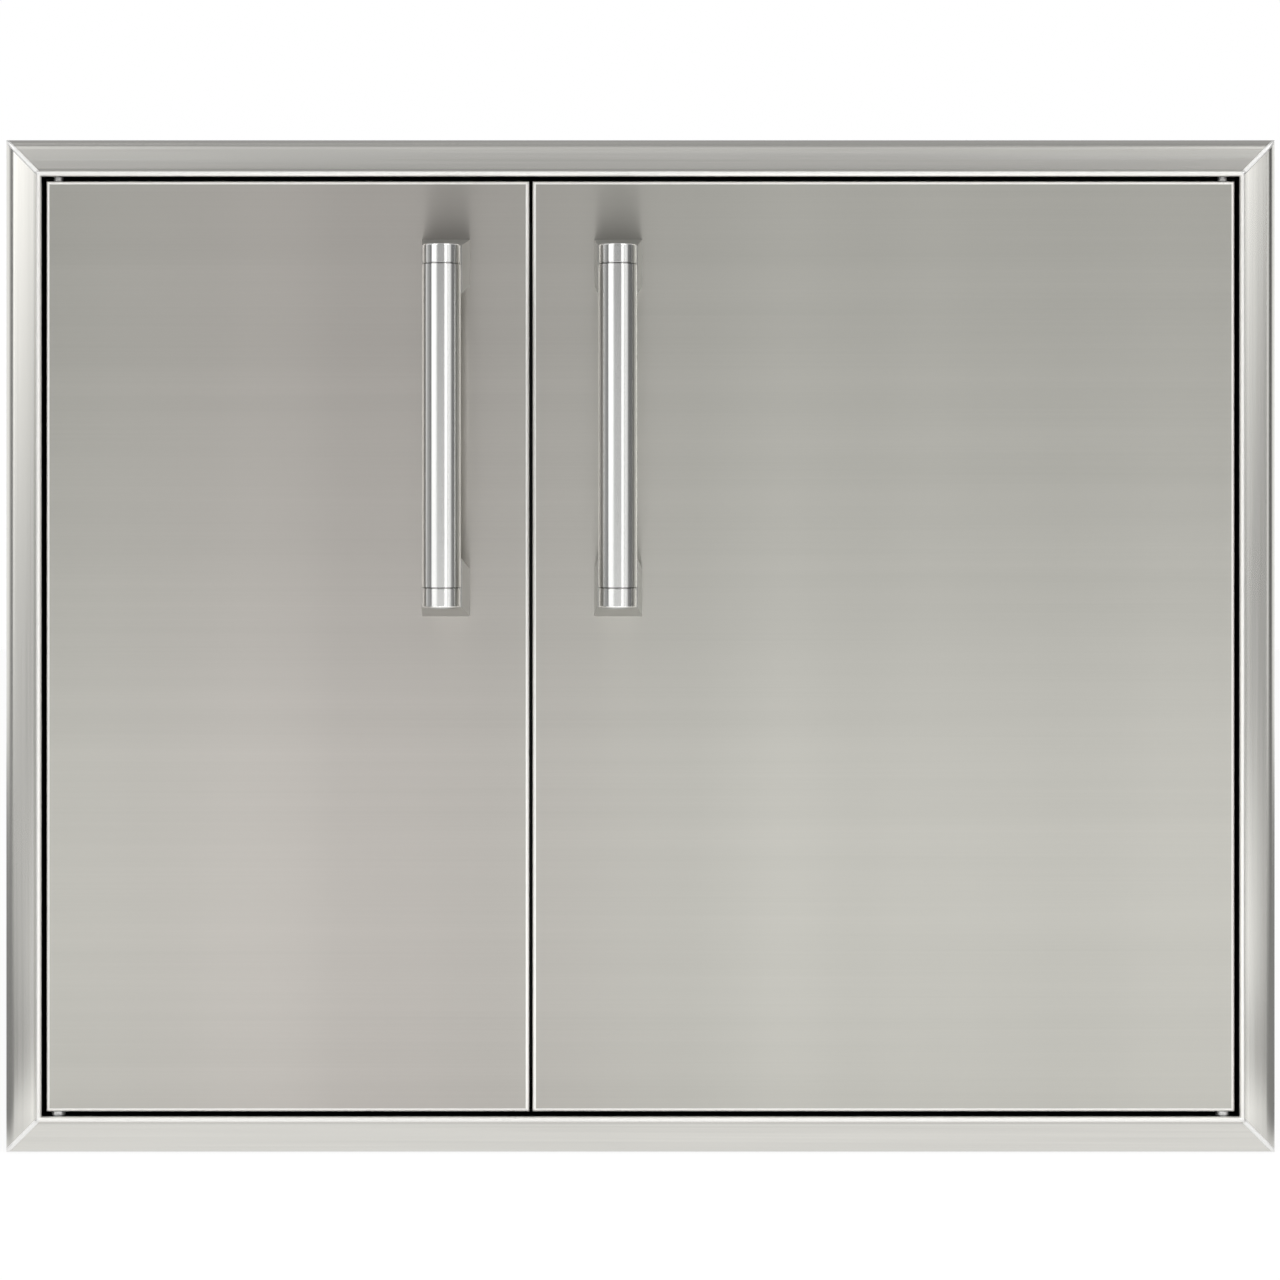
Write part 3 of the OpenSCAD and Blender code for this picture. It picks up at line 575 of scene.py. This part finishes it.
def dress_handles():
    """The tube and caps, darker in the groove where they meet, and the posts."""
    tube_low, tube_high = (c.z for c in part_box("left_handle_tube"))
    for name, turned, tone, roughness, pieces in (
            ("Lathe_Polished_Handle_Steel", 1.0, TUBE_TONE, TUBE_ROUGHNESS, ("tube", "caps")),
            ("Blasted_Cast_Post_Steel", 0.0, POST_TONE, POST_ROUGHNESS, ("upper_post", "lower_post"))):
        material, start, shader = new_material(name)
        place = start.node("ShaderNodeTexCoord", output="Object")
        z = start.node("ShaderNodeSeparateXYZ", (), {"Vector": place}, "Z")
        groove = z.hump(tube_low, GROOVE_WIDTH) + z.hump(tube_high, GROOVE_WIDTH)
        wipe = object_noise(start, WIPE_CELLS)
        pale = tone + WIPE_GAIN
        colour = wipe.colours((tone, tone, tone - WARMTH), (pale, pale, pale - WARMTH))
        connect(start, shader, "Base Color", (turned * groove.step(0.2, 0.6)).over(colour, GROOVE_TONE))
        connect(start, shader, "Roughness", roughness + 0.05 * wipe)
        shader.inputs["Metallic"].default_value = 1.0
        shader.inputs["Anisotropic"].default_value = turned
        shader.inputs["Anisotropic Rotation"].default_value = 0.25
        dress(material, *(f"{side}_handle_{piece}" for side in ("left", "right") for piece in pieces))


dress_handles()
dress(turned_steel, "left_handle_screws", "right_handle_screws")
dress(sheet_steel, "left_handle_backing", "right_handle_backing")


# Studio: a white floor and white surroundings. Seen in the steel, the floor in front is
# bright, the wall behind the camera dim, and a tall soft lamp stands to either side. A band
# is given by where it rises, is full, fades and ends, in degrees of bearing or in metres.

FLOOR_SIZE = 14.0
FLOOR_DROP = 0.0004
WHITE_SHARE = 0.9
HORIZON = (-7.0, -4.0)
WALL_TONE = 0.1
CEILING_TONE = 0.6
CEILING_HEIGHTS = (12.0, 34.0)
OVERHEAD_HEIGHTS = (50.0, 64.0)
OVERHEAD_LOSS = 0.45
BACK_TONE = 0.4
BACK_BEARINGS = (92.0, 112.0)
BACK_HEIGHTS = (10.0, 26.0)
LAMP_TONE = 2.4
LAMP_TOPS = (50.0, 65.0)
LEFT_LAMP = (-60.0, -54.0, -32.0, -18.0)
LEFT_SHARE = 0.76
RIGHT_LAMP = (21.0, 28.0, 58.0, 70.0)
RIGHT_SIDE_SHARE = 0.32
FLOOR_FRONT = 1.45
FLOOR_MIDDLE = 1.75
FLOOR_NEAR = 0.87
FLOOR_SIDE = 0.36
FLOOR_STRIP = (0.38, 0.5)
MIDDLE_PLACE = (-2.9, -2.4, -1.0, -0.7)
POOL_LEFT = 0.6
POOL_RIGHT = 1.45
POOL_SPREAD = (0.4, 0.5, 0.5, 0.76)
POOL_PLACE = (-2.8, -2.0, -0.7, -0.3)
FLOOR_PAINT = (0.86, 0.86, 0.86, 1)


def room_tone(start, toward, ground):
    """How bright the room is in a direction from the cabinet. Bearings run from 0 towards the camera
    to 180 behind the cabinet, negative to the left, and heights from -90 to 90 degrees. The lamps
    grow brighter with height, and ground is the floor's own tone."""
    x, y, z = (start.node("ShaderNodeSeparateXYZ", (), {"Vector": toward}, axis) for axis in "XYZ")
    bearing = x.math("ARCTAN2", x, 0 - y) * (180 / math.pi)
    height = z.math("ARCSINE", z) * (180 / math.pi)
    ceiling = height.step(*CEILING_HEIGHTS) * (1 - OVERHEAD_LOSS * height.step(*OVERHEAD_HEIGHTS))
    wall = WALL_TONE + (CEILING_TONE - WALL_TONE) * ceiling
    wall = wall + 0.5 * (1 - bearing.step(-100.0, -80.0)) + 0.24 * (1 - bearing.step(-80.0, -64.0))
    back = bearing.math("ABSOLUTE", bearing).step(*BACK_BEARINGS)
    wall = wall + back * (BACK_TONE + (1.0 - BACK_TONE) * (1 - height.step(*BACK_HEIGHTS)) - wall)
    left = LEFT_SHARE * bearing.band(*LEFT_LAMP) * (height - 0.3 * (bearing + 43)).step(-11.0, 12.0)
    rising = (height - (bearing - 33)).step(-6.0, 20.0)
    rising = rising.math("MAXIMUM", rising, RIGHT_SIDE_SHARE * bearing.step(42.0, 47.0))
    right = bearing.band(*RIGHT_LAMP) * rising
    wall = wall + LAMP_TONE * (left + right) * (1 - height.step(*LAMP_TOPS))
    low = 1 - height.step(*HORIZON)
    return wall + low * (ground - wall)


def floor_tone(x, y):
    """How bright the floor is in the steel: a strip before the doors, dimmer near them and brighter
    further out, dim floor beside it, and a pool of light before each side rail. The pool's spread is
    the distance sideways from the rail for each metre forward."""
    bright = FLOOR_FRONT + (FLOOR_NEAR - FLOOR_FRONT) * y.step(-0.13, -0.08)
    bright = bright + (FLOOR_MIDDLE - FLOOR_FRONT) * y.band(*MIDDLE_PLACE)
    dim = FLOOR_SIDE * (1 - 0.5 * y.step(-0.6, -0.3))
    beside = x.math("ABSOLUTE", x) + 0.3 * y
    tone = dim + (1 - beside.step(*FLOOR_STRIP)) * (bright - dim)
    spread = (x.math("ABSOLUTE", x) - cad_box[1].x) / (0 - y)
    pool = spread.band(*POOL_SPREAD) * y.band(*POOL_PLACE)
    return tone + (POOL_LEFT + (POOL_RIGHT - POOL_LEFT) * x.step(-0.1, 0.1)) * pool


def make_floor():
    """A flat square under the lowest point of the frame, white to the camera."""
    half, z = FLOOR_SIZE / 2, cad_box[0].z - FLOOR_DROP
    points = np.array([[-half, -half, z], [half, -half, z], [half, half, z], [-half, half, z]])
    floor = add_mesh("studio_floor", points, [[0, 1, 2, 3]], False)
    material, start, shader = new_material("White_Studio_Floor")
    shader.inputs["Base Color"].default_value = FLOOR_PAINT
    shader.inputs["Roughness"].default_value = 0.9
    shader.inputs["Specular IOR Level"].default_value = 0.0
    place = start.node("ShaderNodeTexCoord", output="Object")
    toward = start.node("ShaderNodeVectorMath", {"operation": "SUBTRACT"}, {0: place, 1: frame_middle})
    toward = start.node("ShaderNodeVectorMath", {"operation": "NORMALIZE"}, {0: toward})
    camera, glossy, clear = (start.node("ShaderNodeLightPath", output=name)
                             for name in ("Is Camera Ray", "Is Glossy Ray", "Is Transmission Ray"))
    x, y = (start.node("ShaderNodeSeparateXYZ", (), {"Vector": place}, axis) for axis in "XY")
    glow = camera + (1 - camera) * room_tone(start, toward, floor_tone(x, y))
    white = start.node("ShaderNodeEmission", (), {"Color": (1, 1, 1, 1), "Strength": glow})
    seen = camera.math("MINIMUM", camera + glossy + clear, 1.0)
    mixed = start.node("ShaderNodeMixShader", (),
                       {0: seen * WHITE_SHARE, 1: Link(start.tree, shader.outputs[0]), 2: white})
    out = start.tree.nodes["Material Output"]
    start.tree.links.new(mixed.socket, out.inputs["Surface"])
    floor.data.materials.append(material)


def light_room():
    """The world: white to the camera, and the room to everything else."""
    world = bpy.data.worlds.new("Studio_Room")
    bpy.context.scene.world = world
    world.use_nodes = True
    start = Link(world.node_tree)
    toward = start.node("ShaderNodeTexCoord", output="Generated")
    camera = start.node("ShaderNodeLightPath", output="Is Camera Ray")
    strength = camera + (1 - camera) * room_tone(start, toward, FLOOR_FRONT)
    lit = start.node("ShaderNodeBackground", (), {"Color": (1, 1, 1, 1), "Strength": strength})
    out = world.node_tree.nodes["World Output"]
    start.tree.links.new(lit.socket, out.inputs["Surface"])


def hang_lamp(name, place, target, size, watts):
    """A square soft lamp that points from place to target and doesn't show in the steel."""
    data = bpy.data.lights.new(name, "AREA")
    data.size = size
    data.energy = watts
    lamp = bpy.data.objects.new(name, data)
    lamp.location = place
    aim = np.array(target) - np.array(place)
    lean = math.acos(-aim[2] / np.linalg.norm(aim))
    lamp.rotation_euler = (lean, 0, math.atan2(aim[1], aim[0]) - math.pi / 2)
    lamp.visible_glossy = False
    bpy.context.scene.collection.objects.link(lamp)


make_floor()
light_room()
hang_lamp("overhead_soft_lamp", (0.3, -1.6, 2.4), (0, 0, 0.3), 1.8, 60)


# Camera: level and square on to the doors, a little above their middle, at 1.9 m. Its
# picture is PLANE_WIDTH wide at y = 0, where the face frame meets the island it is built in.

CAMERA_DISTANCE = 1.9
CAMERA_ASIDE = -0.0003
CAMERA_HEIGHT = 0.3724
CAMERA_SHIFT = -0.0989
PLANE_WIDTH = 0.7945

camera_data = bpy.data.cameras.new("front_camera")
camera_data.sensor_width = 36.0
camera_data.lens = 36.0 * CAMERA_DISTANCE / PLANE_WIDTH
camera_data.shift_y = CAMERA_SHIFT
camera = bpy.data.objects.new("front_camera", camera_data)
camera.location = (CAMERA_ASIDE, -CAMERA_DISTANCE, CAMERA_HEIGHT)
camera.rotation_euler = (math.pi / 2, 0, 0)
bpy.context.scene.collection.objects.link(camera)
bpy.context.scene.camera = camera
bpy.context.scene.view_settings.view_transform = "Standard"
